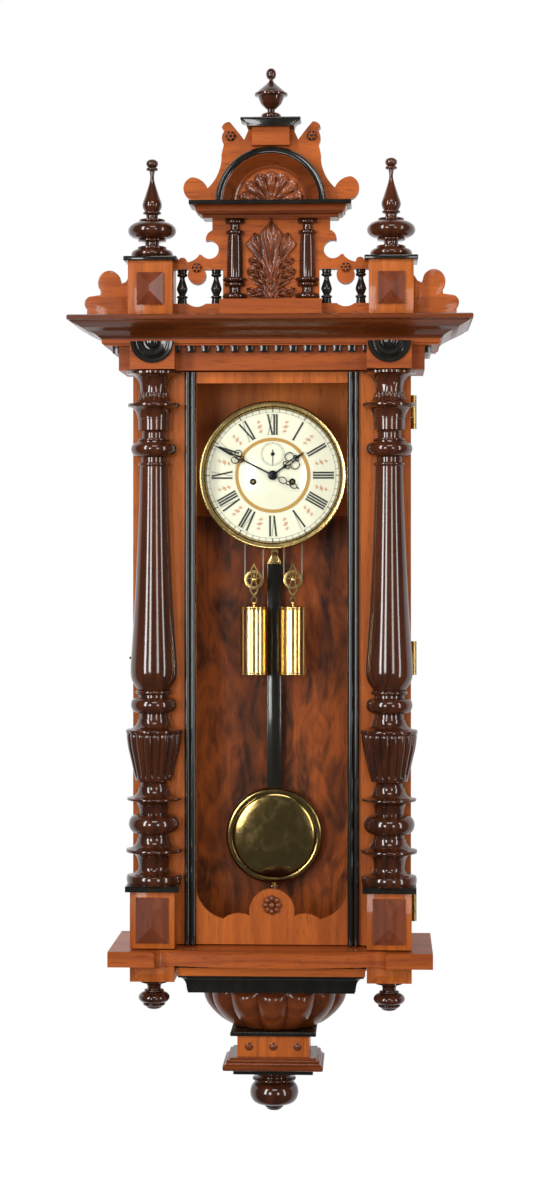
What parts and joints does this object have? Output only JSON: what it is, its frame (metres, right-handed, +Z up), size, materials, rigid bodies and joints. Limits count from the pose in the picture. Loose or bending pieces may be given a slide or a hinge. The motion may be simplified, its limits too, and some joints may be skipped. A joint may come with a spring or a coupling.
{
  "type": "vienna regulator wall clock",
  "caption": "Weight-driven wall clock in a carved walnut case with glazed door, turned columns, openwork crest, enamel dial, pulleys and a long pendulum.",
  "frame": {"origin": "centre of the hanger plate's hole, on the wall plane", "axes": "+X to the viewer's right, -Y from the wall to the viewer, +Z up"},
  "size_m": [0.505, 0.185, 1.327],
  "materials": {
    "walnut_veneer": "French polished veneer",
    "dark_walnut": "stained and polished",
    "ebonised_wood": "black stained and polished",
    "carved_walnut": "satin",
    "glass": "clear, old, slightly uneven",
    "brass": "polished, aged",
    "steel": "polished",
    "blued_steel": "blackened and polished",
    "enamel": "glossy cream enamel",
    "gut_line": "twisted gut"
  },
  "bodies": {
    "case": {"backboard": "walnut_veneer", "hanger_plate": "steel", "side_frames": "walnut_veneer", "side_glass": "glass", "frieze": "dark_walnut", "top_board": "walnut_veneer", "main_cornice": "dark_walnut", "dentil_band": "ebonised_wood", "case_bosses": "ebonised_wood", "base_shelf": "dark_walnut", "drop_blocks": "dark_walnut", "base_moulding": "dark_walnut", "console_bowl": "dark_walnut", "console_block": "dark_walnut", "lower_finials": "dark_walnut", "inner_board": "walnut_veneer", "case_fittings": "brass", "movement_frame": "brass", "dial": "enamel", "bezel": "brass", "line_left": "gut_line", "line_right": "gut_line"},
    "door": {"door_frame": "walnut_veneer", "door_glass": "glass", "door_beads": "ebonised_wood", "door_pedestals": "dark_walnut", "column_plinths": "ebonised_wood", "column_left": "dark_walnut", "column_right": "dark_walnut", "rail_rosette": "carved_walnut", "door_fittings": "brass"},
    "hook": {"side_hook": "brass"},
    "pendulum": {"pendulum_head": "brass", "pendulum_rod": "ebonised_wood", "pendulum_bob": "brass", "rating_stem": "steel"},
    "rating_nut": {"rating_nut": "brass"},
    "anchor": {"anchor": "steel"},
    "escape": {"escape_wheel": "brass", "seconds_hand": "blued_steel"},
    "minute": {"minute_hand": "blued_steel"},
    "hour": {"hour_hand": "blued_steel"},
    "barrel_left": {"barrel_left": "brass"},
    "barrel_right": {"barrel_right": "brass"},
    "weight_left": {"weight_left": "brass", "pulley_frame_left": "brass"},
    "weight_right": {"weight_right": "brass", "pulley_frame_right": "brass"},
    "pulley_left": {"pulley_wheel_left": "brass"},
    "pulley_right": {"pulley_wheel_right": "brass"},
    "crest": {"crest_board": "dark_walnut", "crest_pedestals": "dark_walnut", "crest_caps": "ebonised_wood", "crest_cornice": "dark_walnut", "arch_moulding": "dark_walnut", "shell_carving": "carved_walnut", "leaf_carving": "carved_walnut", "crest_columns": "dark_walnut", "crest_spindles": "ebonised_wood", "crest_finials": "dark_walnut"}
  },
  "joints": [
    {"name": "door_hinge", "type": "hinge", "parent": "case", "child": "door", "pos_m": [0.1793, -0.0955, -0.4005], "axis": [0, 0, 1], "range_deg": [0, 110]},
    {"name": "hook_pivot", "type": "hinge", "parent": "case", "child": "hook", "pos_m": [-0.1777, -0.085, -0.4005], "axis": [1, 0, 0], "range_deg": [0, 90]},
    {"name": "pendulum_swing", "type": "hinge", "parent": "case", "child": "pendulum", "pos_m": [0, -0.03, -0.118], "axis": [0, 1, 0], "range_deg": [-3, 3]},
    {"name": "nut_turn", "type": "hinge", "parent": "pendulum", "child": "rating_nut", "pos_m": [0, -0.03, -0.6984], "axis": [0, 0, 1], "continuous": true},
    {"name": "anchor_rock", "type": "hinge", "parent": "case", "child": "anchor", "pos_m": [0, -0.06, -0.118], "axis": [0, 1, 0], "range_deg": [-3, 3]},
    {"name": "escape_spin", "type": "hinge", "parent": "case", "child": "escape", "pos_m": [0, -0.06, -0.1414], "axis": [0, 1, 0], "continuous": true},
    {"name": "minute_spin", "type": "hinge", "parent": "case", "child": "minute", "pos_m": [0, -0.06, -0.1684], "axis": [0, 1, 0], "continuous": true},
    {"name": "hour_spin", "type": "hinge", "parent": "case", "child": "hour", "pos_m": [0, -0.085, -0.1684], "axis": [0, 1, 0], "continuous": true},
    {"name": "crest_lift", "type": "slide", "parent": "case", "child": "crest", "axis": [0, 0, 1], "range_m": [0, 0.06]},
    {"name": "weight_left_drop", "type": "slide", "parent": "case", "child": "weight_left", "axis": [0, 0, 1], "range_m": [-0.3, 0.03], "deforming": ["line_left"]},
    {"name": "pulley_left_spin", "type": "hinge", "parent": "weight_left", "child": "pulley_left", "pos_m": [-0.025, -0.062, -0.3017], "axis": [0, 1, 0], "continuous": true},
    {"name": "barrel_left_spin", "type": "hinge", "parent": "case", "child": "barrel_left", "pos_m": [-0.025, -0.06, -0.1768], "axis": [0, 1, 0], "continuous": true},
    {"name": "weight_right_drop", "type": "slide", "parent": "case", "child": "weight_right", "axis": [0, 0, 1], "range_m": [-0.3, 0.03], "deforming": ["line_right"]},
    {"name": "pulley_right_spin", "type": "hinge", "parent": "weight_right", "child": "pulley_right", "pos_m": [0.025, -0.062, -0.3017], "axis": [0, 1, 0], "continuous": true},
    {"name": "barrel_right_spin", "type": "hinge", "parent": "case", "child": "barrel_right", "pos_m": [0.025, -0.06, -0.1768], "axis": [0, 1, 0], "continuous": true}
  ],
  "couplings": [
    {"joint": "anchor_rock", "follows": "pendulum_swing", "ratio": 1},
    {"joint": "hour_spin", "follows": "minute_spin", "ratio": 0.083333},
    {"joint": "pulley_left_spin", "follows": "weight_left_drop", "rad_per_m": 85.837},
    {"joint": "barrel_left_spin", "follows": "weight_left_drop", "rad_per_m": 171.67},
    {"joint": "pulley_right_spin", "follows": "weight_right_drop", "rad_per_m": -85.837},
    {"joint": "barrel_right_spin", "follows": "weight_right_drop", "rad_per_m": -171.67}
  ]
}
